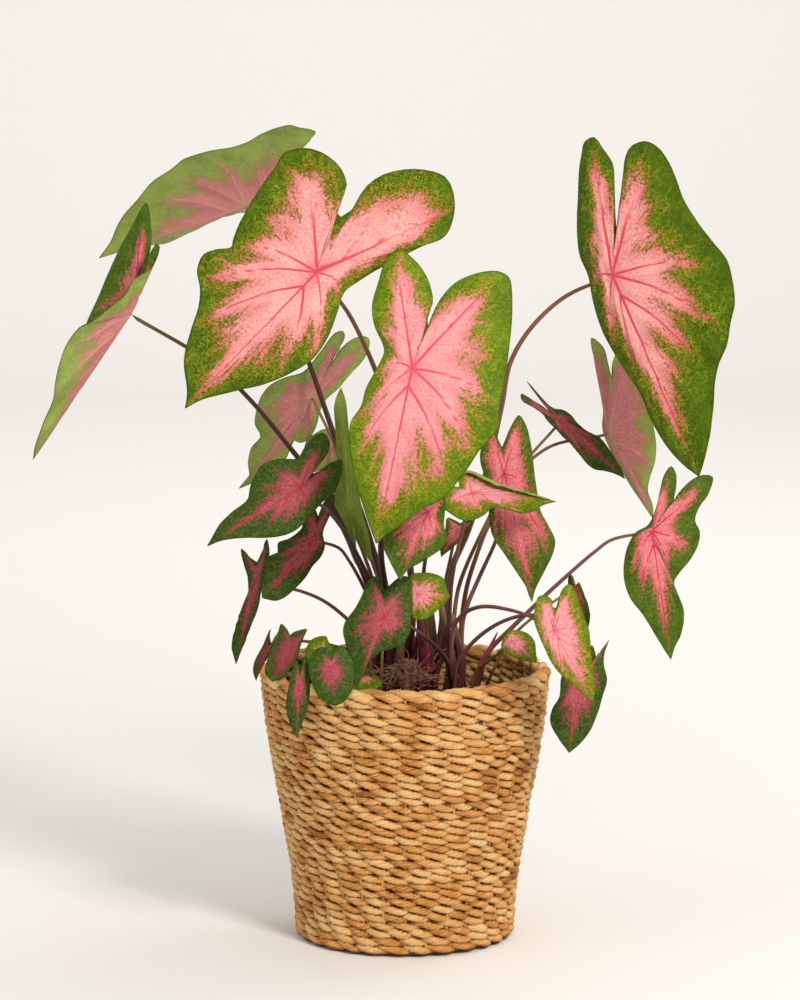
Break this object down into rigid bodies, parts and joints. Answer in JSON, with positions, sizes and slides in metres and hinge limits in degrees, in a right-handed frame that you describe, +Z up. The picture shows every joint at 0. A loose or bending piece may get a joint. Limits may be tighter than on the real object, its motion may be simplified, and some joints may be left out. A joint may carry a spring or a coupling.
{
  "type": "potted caladium",
  "caption": "Caladium house plant: heart-shaped green leaves with pink centres on thin arching stalks, growing from a nursery pot that stands in a tapered woven basket.",
  "frame": {"origin": "centre of the basket's foot, on the surface it stands on", "axes": "+Z up along the basket's axis; -Y is the front, +X to the right seen from the front"},
  "size_m": [0.5137, 0.3416, 0.6011],
  "materials": {
    "straw": "dry twisted plant fibre, matt",
    "black_plastic": "moulded, slightly textured",
    "potting_soil": "damp crumbly compost",
    "corm_bark": "rough brown skin",
    "leaf_blade": "thin living leaf, satin, green round a pink centre",
    "leaf_stalk": "smooth fleshy stalk, satin brown"
  },
  "bodies": {
    "root": {"basket": "straw", "nursery_pot": "black_plastic", "soil": "potting_soil", "corm": "corm_bark", "blade_01": "leaf_blade", "blade_02": "leaf_blade", "blade_03": "leaf_blade", "blade_04": "leaf_blade", "blade_05": "leaf_blade", "blade_06": "leaf_blade", "blade_07": "leaf_blade", "blade_08": "leaf_blade", "blade_09": "leaf_blade", "blade_10": "leaf_blade", "blade_11": "leaf_blade", "blade_12": "leaf_blade", "blade_13": "leaf_blade", "blade_14": "leaf_blade", "blade_15": "leaf_blade", "blade_16": "leaf_blade", "blade_17": "leaf_blade", "blade_18": "leaf_blade", "blade_19": "leaf_blade", "blade_20": "leaf_blade", "blade_21": "leaf_blade", "blade_22": "leaf_blade", "blade_23": "leaf_blade", "blade_24": "leaf_blade", "blade_25": "leaf_blade", "blade_26": "leaf_blade", "blade_27": "leaf_blade", "stalk_01": "leaf_stalk", "stalk_02": "leaf_stalk", "stalk_03": "leaf_stalk", "stalk_04": "leaf_stalk", "stalk_05": "leaf_stalk", "stalk_06": "leaf_stalk", "stalk_07": "leaf_stalk", "stalk_08": "leaf_stalk", "stalk_09": "leaf_stalk", "stalk_10": "leaf_stalk", "stalk_11": "leaf_stalk", "stalk_12": "leaf_stalk", "stalk_13": "leaf_stalk", "stalk_14": "leaf_stalk", "stalk_15": "leaf_stalk", "stalk_16": "leaf_stalk", "stalk_17": "leaf_stalk", "stalk_18": "leaf_stalk", "stalk_19": "leaf_stalk", "stalk_20": "leaf_stalk", "stalk_21": "leaf_stalk", "stalk_22": "leaf_stalk", "stalk_23": "leaf_stalk", "stalk_24": "leaf_stalk", "stalk_25": "leaf_stalk", "stalk_26": "leaf_stalk", "stalk_27": "leaf_stalk"}
  },
  "joints": []
}
